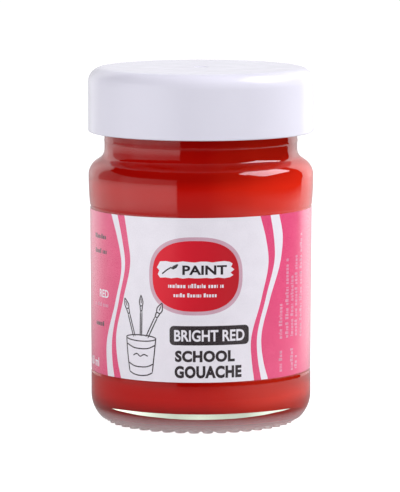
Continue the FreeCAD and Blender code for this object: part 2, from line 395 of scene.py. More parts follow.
class Profile:
    """A half-section drawn as straight runs and arcs, sampled closely."""

    GRAIN = 0.05

    def __init__(self, radius, height):
        self.points = [(radius, height)]

    def line(self, radius, height):
        start = self.points[-1]
        count = max(1, int(math.dist(start, (radius, height)) / self.GRAIN))
        for share in np.arange(1, count + 1) / count:
            across, up = share * (radius - start[0]), share * (height - start[1])
            self.points.append((start[0] + across, start[1] + up))

    def arc(self, centre, size, from_deg, to_deg):
        first, last = math.radians(from_deg), math.radians(to_deg)
        self.line(centre[0] + size * math.cos(first), centre[1] + size * math.sin(first))
        count = max(2, int(abs(last - first) * size / self.GRAIN))
        for step in range(1, count + 1):
            angle = first + (last - first) * step / count
            self.points.append((centre[0] + size * math.cos(angle), centre[1] + size * math.sin(angle)))

    def crown(self, edge_radius, height, edge_height, inward):
        """A shallow dome between the axis, at a height, and an edge, drawn outward or inward."""
        shares = np.linspace(0, 1, int(edge_radius / self.GRAIN))
        for share in (1 - shares if inward else shares):
            self.points.append((edge_radius * share, height + (edge_height - height) * share ** 2))

    def softened(self, spread, longest):
        """The profile with eased corners, and points no further apart than longest(radius, height)."""
        points = np.array(self.points)
        run = np.concatenate([[0], np.cumsum(np.hypot(*np.diff(points, axis=0).T))])
        even = np.linspace(0, run[-1], int(run[-1] / self.GRAIN))
        line = np.column_stack([np.interp(even, run, points[:, 0]), np.interp(even, run, points[:, 1])])
        reach = int(4 * spread / self.GRAIN)
        mirror = np.array([-1.0, 1.0])
        padded = np.vstack([line[reach:0:-1] * mirror, line, line[-2:-reach - 2:-1] * mirror])
        kernel = np.exp(-0.5 * (np.arange(-reach, reach + 1) * self.GRAIN / spread) ** 2)
        kernel /= kernel.sum()
        line = np.column_stack([np.convolve(padded[:, axis], kernel, "valid") for axis in (0, 1)])
        line[0, 0] = line[-1, 0] = 0.0
        return line[self.chosen(line, longest)]

    def chosen(self, line, longest):
        """Which points to keep, so that the line is followed within two micrometres."""
        keep = {0, len(line) - 1}
        todo = [(0, len(line) - 1)]
        while todo:
            first, last = todo.pop()
            if last - first < 2:
                continue
            start, chord = line[first], line[last] - line[first]
            length = max(np.hypot(*chord), 1e-9)
            away = line[first + 1:last] - start
            off = np.abs(chord[0] * away[:, 1] - chord[1] * away[:, 0]) / length
            middle = (first + last) // 2
            near = line[middle]
            if off.max() > 0.002:
                middle = first + 1 + int(off.argmax())
            elif (last - first) * self.GRAIN <= longest(near[0], near[1]):
                continue
            keep.add(middle)
            todo += [(first, middle), (middle, last)]
        return sorted(keep)


def turned(profile, segments, shape=None):
    """Vertices and faces of a profile turned about the axis, on which it starts and ends."""
    rings = profile[1:-1]
    angles = np.arange(segments) * 2 * math.pi / segments
    radius = np.repeat(rings[:, :1], segments, axis=1)
    height = np.repeat(rings[:, 1:], segments, axis=1)
    angle = np.repeat(angles[None, :], len(rings), axis=0)
    if shape:
        radius, height = shape(radius, height, angle)
    around = np.stack([radius * np.cos(angle), radius * np.sin(angle), height], axis=2).reshape(-1, 3)
    ends = [(0, 0, profile[0][1]), (0, 0, profile[-1][1])]
    vertices = np.vstack([around, ends])

    here = np.arange(len(rings) * segments).reshape(len(rings), segments)
    beside = np.roll(here, -1, axis=1)
    quads = np.stack([here[:-1], beside[:-1], beside[1:], here[1:]], axis=2).reshape(-1, 4)
    first, last = len(vertices) - 2, len(vertices) - 1
    fans = [(first, int(b), int(a)) for a, b in zip(here[0], beside[0])]
    fans += [(last, int(a), int(b)) for a, b in zip(here[-1], beside[-1])]
    return vertices, quads.tolist() + fans


def smooth_step(value):
    value = np.clip(value, 0, 1)
    return value * value * (3 - 2 * value)


def thread_height(height, angle, full, start_deg, start_z, turns, base, crest):
    """How far a one-start right-hand thread stands out at each point."""
    standing = np.zeros_like(height)
    for lap in range(int(turns) + 2):
        turn = np.degrees(angle) - start_deg + 360 * lap
        on_thread = (turn >= 0) & (turn <= 360 * turns)
        from_end = np.clip(np.minimum(turn, 360 * turns - turn), 0, THREAD_FADE_DEG) / THREAD_FADE_DEG
        rise = full * (1 - np.cos(math.pi * from_end)) / 2
        away = np.abs(height - start_z - THREAD_PITCH * turn / 360)
        flank = smooth_step((base / 2 - away) / (base / 2 - crest / 2))
        standing = np.maximum(standing, np.where(on_thread, rise * flank, 0))
    return standing


def new_piece(name, vertices, faces, materials, body, replaced=(), sharp_deg=40, inks=None):
    """A mesh in millimetres, made in metres, riding on its body."""
    mesh = bpy.data.meshes.new(name)
    mesh.from_pydata((np.asarray(vertices, dtype=float) * MM).tolist(), [], faces)
    mesh.polygons.foreach_set("use_smooth", [True] * len(mesh.polygons))
    for material in materials:
        mesh.materials.append(material)
    if inks is not None:
        mesh.polygons.foreach_set("material_index", inks)
    mesh.validate()
    outward(mesh)
    mesh.set_sharp_from_angle(angle=math.radians(sharp_deg))
    piece = placed(name, mesh)
    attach(piece, body)
    if replaced:
        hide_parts(*replaced)
    return piece


def outward(mesh):
    """Turns every face to look outward."""
    work = bmesh.new()
    work.from_mesh(mesh)
    bmesh.ops.recalc_face_normals(work, faces=work.faces)
    work.to_mesh(mesh)
    work.free()


def panel_radius(z):
    """Radius of the glass in the label panel, which tapers towards the foot."""
    share = (z - LABEL_BOTTOM_Z) / (LABEL_TOP_Z - LABEL_BOTTOM_Z)
    return PANEL_BOTTOM_RADIUS + share * (PANEL_TOP_RADIUS - PANEL_BOTTOM_RADIUS)


def tangent_fillet(arc_centre, arc_size, fillet_centre_radius, fillet_size):
    """Centre of a fillet that a straight slope joins to an arc."""
    slope = math.radians(SHOULDER_SLOPE_DEG)
    end = (arc_centre[0] + arc_size * math.cos(slope), arc_centre[1] + arc_size * math.sin(slope))
    start_radius = fillet_centre_radius - fillet_size * math.cos(slope)
    rise = (end[0] - start_radius) / math.tan(slope)
    return fillet_centre_radius, end[1] + rise + fillet_size * math.sin(slope)


def draw_outside(profile):
    """The outside of the glass, from the middle of the push-up to the rim."""
    profile.crown(PUSH_UP_RADIUS, PUSH_UP_CENTRE_Z, PUSH_UP_EDGE_Z, False)
    profile.line(FOOT_INNER_RADIUS, FOOT_Z)
    profile.line(FOOT_OUTER_RADIUS, FOOT_Z)
    profile.arc((HEEL_RADIUS - HEEL_ARC, HEEL_ARC_Z), HEEL_ARC, -HEEL_SWEEP_DEG, 0)
    low_edge, high_edge = LABEL_BOTTOM_Z - PANEL_MARGIN, LABEL_TOP_Z + PANEL_MARGIN
    profile.line(HEEL_RADIUS, low_edge - PANEL_EASE)
    profile.line(panel_radius(low_edge), low_edge)
    profile.line(panel_radius(high_edge), high_edge)
    profile.line(ABOVE_PANEL_RADIUS, high_edge + PANEL_EASE)
    rise = SHOULDER_Z - high_edge - PANEL_EASE
    for share in np.linspace(0.05, 1, 20):
        bulge = ABOVE_PANEL_RADIUS + (SHOULDER_RADIUS - ABOVE_PANEL_RADIUS) * (2 * share - share ** 2)
        profile.line(bulge, high_edge + PANEL_EASE + rise * share)
    shoulder = (SHOULDER_RADIUS - SHOULDER_ARC, SHOULDER_Z)
    profile.arc(shoulder, SHOULDER_ARC, 0, SHOULDER_SLOPE_DEG)
    fillet = tangent_fillet(shoulder, SHOULDER_ARC, NECK_RADIUS + NECK_FILLET, NECK_FILLET)
    profile.arc(fillet, NECK_FILLET, 180 + SHOULDER_SLOPE_DEG, 180)
    profile.line(NECK_RADIUS, SEAM_Z - SEAM_HEIGHT / 2)
    profile.line(NECK_RADIUS + SEAM_PROUD, SEAM_Z)
    profile.line(NECK_RADIUS, SEAM_Z + SEAM_HEIGHT / 2)
    profile.arc((NECK_RADIUS - RIM_ROUND, RIM_Z - RIM_ROUND), RIM_ROUND, 0, 90)


def draw_inside(profile, clearance):
    """The inside of the glass, from the foot of the bore down to the middle of the floor."""
    shoulder = (INNER_RADIUS - INNER_SHOULDER_ARC, INNER_SHOULDER_Z)
    neck = BORE_RADIUS + INNER_NECK_FILLET
    fillet = tangent_fillet(shoulder, INNER_SHOULDER_ARC, neck, INNER_NECK_FILLET)
    profile.arc(fillet, INNER_NECK_FILLET + clearance, 180, 180 + SHOULDER_SLOPE_DEG)
    profile.arc(shoulder, INNER_SHOULDER_ARC - clearance, SHOULDER_SLOPE_DEG, 0)
    corner = (INNER_RADIUS - FLOOR_CORNER, FLOOR_EDGE_Z + FLOOR_CORNER)
    profile.arc(corner, FLOOR_CORNER - clearance, 0, -90)
    profile.crown(corner[0], FLOOR_CENTRE_Z + clearance, FLOOR_EDGE_Z + clearance, True)


def glass_spacing(radius, height):
    """Close rows for the thread and the knurls, and wider ones elsewhere."""
    if height > JAR_THREAD_START_Z - JAR_THREAD_BASE and radius > BORE_RADIUS + 1:
        return THREAD_ROW
    if height < KNURL_TOP_Z and radius > PUSH_UP_RADIUS:
        return KNURL_ROW
    return PLAIN_ROW


def glass_details(radius, height, angle):
    """The neck thread and the foot's knurls."""
    on_neck = (radius > NECK_RADIUS - 0.01) & (height > SEAM_Z + SEAM_HEIGHT)
    standing = thread_height(height, angle, THREAD_RADIUS - NECK_RADIUS, 0.0, JAR_THREAD_START_Z,
                             JAR_THREAD_TURNS, JAR_THREAD_BASE, JAR_THREAD_CREST)
    radius = radius + np.where(on_neck, standing, 0)

    pitch = 2 * math.pi / KNURL_COUNT
    beside = np.abs((angle + pitch / 2) % pitch - pitch / 2) * radius
    past_end = np.maximum(0, np.maximum(KNURL_INNER - radius, radius - KNURL_OUTER))
    reach = np.sqrt(np.maximum(KNURL_RADIUS ** 2 - beside ** 2 - past_end ** 2, 0))
    bar = np.where(reach > 0, np.maximum(KNURL_AXIS_Z - reach, 0), height)
    low = np.minimum(height, bar)
    return radius, np.where(height < KNURL_TOP_Z, low, height)


def make_glass(material):
    profile = Profile(0, PUSH_UP_CENTRE_Z)
    draw_outside(profile)
    profile.arc((BORE_RADIUS + RIM_ROUND, RIM_Z - RIM_ROUND), RIM_ROUND, 90, 180)
    draw_inside(profile, 0)
    vertices, faces = turned(profile.softened(0.1, glass_spacing), 504, glass_details)
    return new_piece("glass_jar_pressed", vertices, faces, [material], "jar", ["glass_jar"],
                     180)


def make_paint(material):
    """The paint fills the glass from wall to wall, and climbs it a little at the top."""
    profile = Profile(0, PAINT_LEVEL_Z - MENISCUS_HEIGHT)
    profile.line(BORE_RADIUS - MENISCUS_REACH, PAINT_LEVEL_Z - MENISCUS_HEIGHT)
    for share in np.linspace(0.1, 1, 10):
        reach = BORE_RADIUS - MENISCUS_REACH + share * (MENISCUS_REACH + PAINT_IN_GLASS)
        profile.line(reach, PAINT_LEVEL_Z - MENISCUS_HEIGHT * (1 - share ** 3))
    draw_inside(profile, -PAINT_IN_GLASS)
    vertices, faces = turned(profile.softened(0.06, lambda radius, height: PLAIN_ROW), 240)
    return new_piece("paint_body", vertices, faces, [material], "jar", ["paint_fill"], 180)


def lid_details(radius, height, angle):
    """The lid's inner thread."""
    inside = (np.abs(radius - LID_RADIUS + LID_WALL) < 0.01) & (height < KEEPER_Z - KEEPER_HEIGHT)
    standing = thread_height(height, angle, LID_THREAD_HEIGHT, LID_THREAD_START_DEG, LID_THREAD_START_Z,
                             LID_THREAD_TURNS, LID_THREAD_BASE, LID_THREAD_CREST)
    return radius - np.where(inside, standing, 0), height


def lid_spacing(radius, height):
    if abs(radius - LID_RADIUS + LID_WALL) < 0.5 and height < KEEPER_Z:
        return THREAD_ROW
    return PLAIN_ROW


def make_lid(material):
    """One moulded wall, with a rounded top edge and a small gate dimple in the middle of the top."""
    dimple, dimple_depth = 1.6, 0.18
    profile = Profile(0, LID_TOP_Z - dimple_depth + 0.08)
    profile.line(0.45, LID_TOP_Z - dimple_depth + 0.08)
    profile.line(0.6, LID_TOP_Z - dimple_depth)
    profile.line(dimple - 0.3, LID_TOP_Z - dimple_depth)
    profile.line(dimple, LID_TOP_Z)
    profile.arc((LID_RADIUS - LID_TOP_ROUND, LID_TOP_Z - LID_TOP_ROUND), LID_TOP_ROUND, 90, 0)
    inner = LID_RADIUS - LID_WALL
    mouth_z = LID_BOTTOM_Z + LID_MOUTH_ROUND
    profile.arc((LID_RADIUS - LID_MOUTH_ROUND, mouth_z), LID_MOUTH_ROUND, 0, -90)
    profile.arc((inner + LID_MOUTH_ROUND, mouth_z), LID_MOUTH_ROUND, -90, -180)
    profile.line(inner, KEEPER_Z - KEEPER_HEIGHT)
    profile.line(inner - KEEPER_REACH, KEEPER_Z - KEEPER_HEIGHT / 2)
    profile.line(inner, KEEPER_Z)
    profile.line(inner, LID_TOP_Z - LID_TOP_WALL)
    profile.line(0, LID_TOP_Z - LID_TOP_WALL)
    vertices, faces = turned(profile.softened(0.08, lid_spacing), 384, lid_details)
    return new_piece("lid_moulding", vertices, faces, [material], "lid", ["lid_shell"], 180)


def make_board(material):
    """The wad's board, with crushed edges."""
    low, high = board_low[2], board_high[2]
    profile = Profile(0, low)
    profile.line(LINER_RADIUS - 0.1, low)
    profile.arc((LINER_RADIUS - 0.22, (low + high) / 2), 0.22, -60, 60)
    profile.line(LINER_RADIUS - 0.1, high)
    profile.line(0, high)
    vertices, faces = turned(profile.softened(0.05, lambda radius, height: WAD_ROW), 192)
    return new_piece("wad_board", vertices, faces, [material], "liner", ["liner_board"], 180)


def make_facing(material):
    """The film under the board, with the ring that the rim has pressed into it."""
    low, high = facing_low[2], facing_high[2]
    middle = (BORE_RADIUS + NECK_RADIUS) / 2
    profile = Profile(0, high)
    profile.line(LINER_RADIUS, high)
    profile.line(LINER_RADIUS, low)
    profile.line(NECK_RADIUS + 0.2, low)
    profile.line(NECK_RADIUS - 0.2, low + 0.035)
    profile.line(middle, low + 0.04)
    profile.line(BORE_RADIUS + 0.2, low + 0.035)
    profile.line(BORE_RADIUS - 0.2, low)
    profile.line(0, low)
    vertices, faces = turned(profile.softened(0.02, lambda radius, height: WAD_ROW), 192)
    return new_piece("wad_facing", vertices, faces, [material], "liner",
                     ["liner_facing"], 180)


# ---------------------------------------------------------------- label

def wrapped(u, v, above):
    """Points of the flat label, at a height above the paper's face, bent round the glass."""
    angle = u / LABEL_MEAN_RADIUS
    z = v + LABEL_SKEW * LABEL_MEAN_RADIUS * np.sin(angle)
    radius = panel_radius(z) + LABEL_GAP + LABEL_THICKNESS + above
    return np.column_stack([radius * np.sin(angle), -radius * np.cos(angle), z])


def curve_through(points):
    """A smooth curve u(v) through listed points, given from the top of the label down."""
    u, v = np.array(points[::-1]).T
    slope = np.gradient(u, v)

    def at(height):
        place = np.clip(np.searchsorted(v, height) - 1, 0, len(v) - 2)
        run = v[place + 1] - v[place]
        s = (height - v[place]) / run
        return ((2 * s ** 3 - 3 * s ** 2 + 1) * u[place] + (s ** 3 - 2 * s ** 2 + s) * run * slope[place]
                + (3 * s ** 2 - 2 * s ** 3) * u[place + 1] + (s ** 3 - s ** 2) * run * slope[place + 1])

    return at


# The waved stripes' edges from left to right: panel, white, stripe, white field, stripe, white, panel
STRIPE_EDGES = [
    [(-20.8, 44.2), (-18.9, 39.5), (-17.65, 34), (-19.5, 26.5),
     (-22.85, 16.5), (-22.6, 12.5), (-22.3, 10.6)],
    [(-18.8, 44.2), (-17.4, 39), (-16.65, 34.5), (-18.4, 27),
     (-20.85, 17), (-20.6, 13.5), (-20.0, 10.6)],
    [(-16.8, 44.2), (-15.9, 39.5), (-15.25, 35.2), (-17.2, 27),
     (-19.45, 18.6), (-18.95, 14.2), (-17.9, 10.6)],
    [(12.4, 44.2), (13.8, 39.5), (14.5, 35.2), (12.8, 27.3),
     (10.38, 18.6), (10.7, 14), (11.2, 10.6)],
    [(14.9, 44.2), (15.85, 39.5), (16.15, 36), (13.9, 27.5),
     (11.75, 19), (12.1, 14.4), (12.9, 10.6)],
    [(17.2, 44.2), (18.3, 39.8), (17.9, 35.3), (14.9, 27),
     (12.78, 19), (13.4, 14.3), (14.6, 10.6)],
]
WHITE, PINK = 0, 1
FIELD_INKS = [PINK, WHITE, PINK, WHITE, PINK, WHITE, PINK]
PAPER_STEP = 0.8


def make_label(white, pink):
    """One strip of paper, whose columns follow the edges of the printed stripes."""
    rows = np.linspace(LABEL_BOTTOM_Z, LABEL_TOP_Z, int((LABEL_TOP_Z - LABEL_BOTTOM_Z) / PAPER_STEP) + 1)
    edges = [np.full(len(rows), -LABEL_REACH)]
    edges += [curve_through(points)(rows) for points in STRIPE_EDGES]
    edges += [np.full(len(rows), LABEL_REACH)]
    columns, inks = [edges[0]], []
    for left, right, ink in zip(edges, edges[1:], FIELD_INKS):
        count = max(2, int((right - left).mean() / PAPER_STEP))
        for step in range(1, count + 1):
            columns.append(left + (right - left) * step / count)
            inks.append(ink)
    u = np.array(columns)
    v = np.repeat(rows[None, :], len(u), axis=0)
    face = wrapped(u.ravel(), v.ravel(), 0.0)
    back = wrapped(u.ravel(), v.ravel(), -LABEL_THICKNESS)

    grid = np.arange(u.size).reshape(u.shape)
    quads = np.stack([grid[:-1, :-1], grid[1:, :-1], grid[1:, 1:], grid[:-1, 1:]], axis=2)
    front_inks = np.repeat(np.array(inks)[:, None], len(rows) - 1, axis=1).ravel()
    front_quads = quads.reshape(-1, 4)
    rim = np.concatenate([grid[:, 0], grid[-1, 1:], grid[-2::-1, -1], grid[0, -2:0:-1]])
    onward = np.roll(rim, -1)
    walls = np.column_stack([rim, onward, onward + u.size, rim + u.size])
    faces = np.vstack([front_quads, front_quads[:, ::-1] + u.size, walls])
    all_inks = np.concatenate([front_inks, np.full(len(front_quads) + len(walls), WHITE)])
    return new_piece("label_paper_strip", np.vstack([face, back]), faces.tolist(), [white, pink],
                     "jar", ["wrap_label"], 40, all_inks.tolist())


class Print:
    """Flat shapes in one ink, drawn on the flat label and then laid on its face as thin closed pieces."""

    BACK = -0.03
    STRIP = 0.6

    def __init__(self, name, level, material):
        self.name = name
        self.front = INK_STEP * level
        self.material = material
        self.work = bmesh.new()

    def shape(self, outline):
        """A filled outline."""
        corners = [self.work.verts.new((u, v, 0)) for u, v in outline]
        self.work.faces.new(corners)

    def bar(self, u0, v0, u1, v1, rounding):
        """A rectangle with round corners."""
        outline = []
        for corner_u, corner_v, start in ((u1, v1, 0), (u0, v1, 90), (u0, v0, 180), (u1, v0, 270)):
            u = corner_u + (rounding if corner_u == u0 else -rounding)
            v = corner_v + (rounding if corner_v == v0 else -rounding)
            for turn in range(0, 91, 15):
                angle = math.radians(start + turn)
                outline.append((u + rounding * math.cos(angle), v + rounding * math.sin(angle)))
        self.shape(outline)

    def oval(self, u, v, half_width, half_height, power):
        """An ellipse at power 2, and a squarer oval at a higher one."""
        outline = []
        count = 72
        for step in range(count):
            angle = 2 * math.pi * step / count
            c, s = math.cos(angle), math.sin(angle)
            outline.append((u + half_width * math.copysign(abs(c) ** (2 / power), c),
                            v + half_height * math.copysign(abs(s) ** (2 / power), s)))
        self.shape(outline)

    def stroke(self, points, width, closed=False):
        """A pen line through points: a smooth ribbon, narrower at its ends."""
        points = [Vector(p) for p in points]
        path = []
        count = len(points)
        for index in range(count if closed else count - 1):
            a = points[index - 1] if closed or index else points[0]
            b = points[index]
            c = points[(index + 1) % count]
            d = points[(index + 2) % count] if closed or index + 2 < count else points[-1]
            for step in range(6):
                t = step / 6
                path.append(0.5 * (2 * b + (c - a) * t + (2 * a - 5 * b + 4 * c - d) * t ** 2
                                   + (3 * b - 3 * c + d - a) * t ** 3))
        if not closed:
            path.append(points[-1])
        sides = []
        for index, place in enumerate(path):
            before = path[index - 1] if closed or index else place
            after = path[(index + 1) % len(path)] if closed or index + 1 < len(path) else place
            along = (after - before).normalized()
            across = Vector((-along.y, along.x)) * width / 2
            at_end = not closed and index in (0, len(path) - 1)
            across *= 0.5 if at_end else 1.0
            sides.append([self.work.verts.new((*spot, 0)) for spot in (place + across, place - across)])
        pairs = list(zip(sides, sides[1:])) + ([(sides[-1], sides[0])] if closed else [])
        for (a, b), (c, d) in pairs:
            self.work.faces.new((a, b, d, c))

    def words(self, text, u0, u1, v0, v1, weight=0.0, spacing=1.0):
        """Plain lettering that fills a box."""
        curve = bpy.data.curves.new("words", "FONT")
        curve.body = text
        curve.offset = weight
        curve.space_character = spacing
        curve.resolution_u = 4
        holder = placed("words", curve)
        mesh = bpy.data.meshes.new_from_object(holder)
        places = np.array([vertex.co[:2] for vertex in mesh.vertices])
        low, high = places.min(axis=0), places.max(axis=0)
        scale = np.array([u1 - u0, v1 - v0]) / (high - low)
        spots = (places - low) * scale + (u0, v0)
        made = [self.work.verts.new((*spot, 0)) for spot in spots]
        for polygon in mesh.polygons:
            self.work.faces.new([made[index] for index in polygon.vertices])
        bpy.data.objects.remove(holder)
        bpy.data.curves.remove(curve)
        bpy.data.meshes.remove(mesh)

    def small_print(self, u0, v0, length, height, upright=False):
        """A line of print too small to read, as plain hooked marks that run right or upward."""
        pen = height * 0.17
        along = 0.0
        while along < length:
            for _ in range(random.randint(3, 8)):
                wide = height * random.uniform(0.4, 0.6)
                tall = height * random.choice((0.72, 0.72, 0.72, 1.0))
                if along + wide > length:
                    break
                arch = [(0, 0), (pen, 0), (pen, tall - pen), (wide - pen, tall - pen), (wide - pen, 0),
                        (wide, 0), (wide, tall), (0, tall)]
                bowl = [(0, 0), (wide, 0), (wide, pen), (pen, pen), (pen, tall - pen), (wide, tall - pen),
                        (wide, tall), (0, tall)]
                stem = [(0, 0), (pen * 1.2, 0), (pen * 1.2, tall), (0, tall)]
                cup = [(u, tall - v) for u, v in reversed(arch)]
                mark = random.choice((arch, bowl, stem, cup, bowl))
                spots = [(along + u, v) for u, v in mark]
                self.shape([(u0 - v, v0 + u) if upright else (u0 + u, v0 + v) for u, v in spots])
                along += (pen if mark is stem else wide) + height * 0.2
            along += height * 0.45

    def lay(self):
        """Cuts the shapes into narrow strips, gives them a thickness and bends them round the jar."""
        work = self.work
        bmesh.ops.triangulate(work, faces=work.faces)
        places = [vertex.co.x for vertex in work.verts]
        for cut in range(math.ceil(min(places) / self.STRIP), math.ceil(max(places) / self.STRIP)):
            everything = work.verts[:] + work.edges[:] + work.faces[:]
            middle = (cut * self.STRIP, 0, 0)
            bmesh.ops.bisect_plane(work, geom=everything, plane_co=middle, plane_no=(1, 0, 0))
        bmesh.ops.recalc_face_normals(work, faces=work.faces)
        for face in work.faces:
            if face.normal.z < 0:
                face.normal_flip()
        work.verts.index_update()
        flat = np.array([vertex.co[:2] for vertex in work.verts])
        front = [[vertex.index for vertex in face.verts] for face in work.faces]
        count = len(flat)
        back = [[index + count for index in reversed(corners)] for corners in front]
        sides = []
        for edge in work.edges:
            if len(edge.link_loops) == 1:
                loop = edge.link_loops[0]
                a, b = loop.vert.index, loop.link_loop_next.vert.index
                sides.append([b, a, a + count, b + count])
        work.free()
        vertices = np.vstack([wrapped(*flat.T, self.front), wrapped(*flat.T, self.BACK)])
        new_piece(self.name, vertices, front + back + sides, [self.material], "jar",
                  sharp_deg=30)


# Printed matter, placed on the flat label
BADGE_U, BADGE_V, BADGE_HALF_WIDTH, BADGE_HALF_HEIGHT = -1.1, 32.3, 9.6, 7.85


def print_badge(border_ink, badge_ink):
    """A plain oval badge with a pale border."""
    border = Print("print_badge_border", 1, border_ink)
    border.oval(BADGE_U, BADGE_V, BADGE_HALF_WIDTH, BADGE_HALF_HEIGHT, 2.5)
    border.lay()
    badge = Print("print_badge", 2, badge_ink)
    badge.oval(BADGE_U, BADGE_V, BADGE_HALF_WIDTH - 0.75, BADGE_HALF_HEIGHT - 0.75, 2.5)
    badge.lay()


def print_band(ink):
    """A brushed white band across the badge, ragged at its ends."""
    band = Print("print_band", 3, ink)
    left, right, low, high = -8.3, 5.85, 31.95, 35.2
    top = [(left + (right - left) * step / 12, high + 0.12 * math.sin(step * 1.9)) for step in range(13)]
    bottom = [(u, low + 0.1 * math.sin(u * 2.3)) for u, _ in top]
    right_end = [(right + reach, low + (high - low) * share)
                 for share, reach in ((0.15, 0.7), (0.3, 0.1), (0.5, 0.9), (0.66, 0.2), (0.85, 0.55))]
    left_end = [(left - reach, low + (high - low) * share)
                for share, reach in ((0.85, 0.25), (0.62, 0.7), (0.45, 0.15), (0.2, 0.5))]
    band.shape(bottom + right_end + top[::-1] + left_end)
    band.small_print(-6.6, 29.95, 11.3, 0.85)
    band.small_print(-5.5, 28.1, 9.0, 0.8)
    band.lay()


def print_pill(ink, white):
    """A dark rounded bar with the colour's name."""
    pill = Print("print_pill", 1, ink)
    pill.bar(-6.35, 18.4, 9.9, 22.3, 0.9)
    pill.lay()
    words = Print("print_pill_words", 2, white)
    words.words("BRIGHT RED", -5.4, 8.95, 19.15, 21.5, 0.025)
    words.lay()


def print_words(ink):
    """The two heavy lines that say what it is, and the word on the badge's band."""
    words = Print("print_heavy_words", 1, ink)
    words.words("SCHOOL", -5.24, 6.9, 15.0, 17.34, 0.05, 1.08)
    words.words("GOUACHE", -5.33, 8.34, 11.74, 14.26, 0.05, 1.08)
    words.lay()
    name = Print("print_band_word", 4, ink)
    name.words("PAINT", -3.7, 5.2, 32.6, 34.5, 0.03)
    name.stroke([(-7.9, 32.7), (-6.9, 33.5), (-5.9, 34.1)], 0.28)
    name.shape([(-6.0, 33.85), (-5.6, 34.35), (-4.75, 34.75), (-4.5, 34.6), (-4.9, 33.95), (-5.55, 33.65)])
    name.lay()


def print_drawing(ink):
    """A pen drawing of a cup with three brushes."""
    drawing = Print("print_drawing", 1, ink)
    pen = 0.24
    drawing.stroke([(-16.3, 19.5), (-16.0, 16.0), (-15.5, 12.6)], pen)
    drawing.stroke([(-9.3, 19.5), (-9.7, 16.0), (-10.1, 12.6)], pen)
    drawing.stroke([(-15.5, 12.6), (-14.4, 12.1), (-12.8, 11.9), (-11.2, 12.1), (-10.1, 12.6)], pen)
    turns = np.arange(12) * math.pi / 6
    rim = [(-12.8 + 3.5 * math.cos(turn), 19.5 + 0.62 * math.sin(turn)) for turn in turns]
    drawing.stroke(rim, pen, True)
    drawing.stroke([(-16.15, 18.2), (-14.5, 17.5), (-12.8, 17.35), (-11.0, 17.5), (-9.45, 18.2)], pen)
    drawing.stroke([(-15.75, 14.4), (-14.4, 13.8), (-12.8, 13.65), (-11.2, 13.8), (-9.9, 14.4)], pen)
    brushes = [((-14.3, 19.7), (-15.7, 24.3), 0.42), ((-12.7, 19.9), (-12.6, 25.0), 0.34),
               ((-11.3, 19.7), (-9.2, 23.9), 0.5)]
    for start, end, half in brushes:
        along = (Vector(end) - Vector(start)).normalized()
        across = Vector((-along.y, along.x)) * half

        def on_brush(origin, forward, aside):
            return Vector(origin) + along * forward + across * aside

        for side in (-1, 1):
            drawing.stroke([on_brush(start, 0, side * 0.5), on_brush(end, 0, side * 0.55)], pen)
            drawing.stroke([on_brush(end, 0, side * 0.55), on_brush(end, 1, side * 0.8)], pen)
        drawing.stroke([on_brush(end, 0, 0.6), on_brush(end, 0, -0.6)], pen)
        drawing.stroke([on_brush(end, 1, 0.85), on_brush(end, 1, -0.85)], pen)
        tip = on_brush(end, 3.2, 0.3)
        drawing.stroke([on_brush(end, 1, 0.8), on_brush(end, 1.9, 1.25), tip], pen)
        drawing.stroke([on_brush(end, 1, -0.8), on_brush(end, 1.9, -1.1), tip], pen)
        drawing.stroke([on_brush(end, 1.5, 0), on_brush(end, 2.5, 0.2)], pen * 0.8)
    drawing.stroke([(-14.6, 15.9), (-13.7, 16.3), (-12.9, 15.8), (-12.0, 16.2), (-11.1, 15.9)], pen)
    drawing.lay()


def print_sides(dark, white, faint_ink):
    """Small print and two invented words on the pink panels, and a few lines at the back."""
    faint = Print("print_left_dark", 1, dark)
    faint.small_print(-27.7, 38.6, 5.9, 0.95)
    faint.small_print(-27.7, 35.6, 5.9, 0.95)
    faint.small_print(-27.5, 20.8, 4.0, 1.0)
    faint.lay()
    size = Print("print_side_words", 1, white)
    size.words("RED", -25.6, -21.9, 26.7, 28.3, 0.02)
    size.words("60 ml", -31.7, -26.3, 12.2, 14.1, 0.025)
    size.lay()
    pale = Print("print_side_lines", 1, faint_ink)
    pale.small_print(-28.2, 24.8, 6.2, 0.85)
    columns = [(17.9, 18.7, 7.3), (17.9, 12.0, 4.3), (19.8, 18.7, 16.4), (21.5, 18.9, 12.8),
               (21.5, 11.9, 4.6), (23.0, 18.8, 17.1), (23.0, 12.1, 2.8), (25.0, 18.4, 21.1)]
    for u, v, length in columns:
        pale.small_print(u + 0.45, v, length, 1.0, True)
    for row, length in enumerate((16.0, 14.5, 15.6, 11.0)):
        pale.small_print(48.0, 31.0 - 2.2 * row, length, 1.0)
    pale.lay()


# ---------------------------------------------------------------- stage, lights and camera

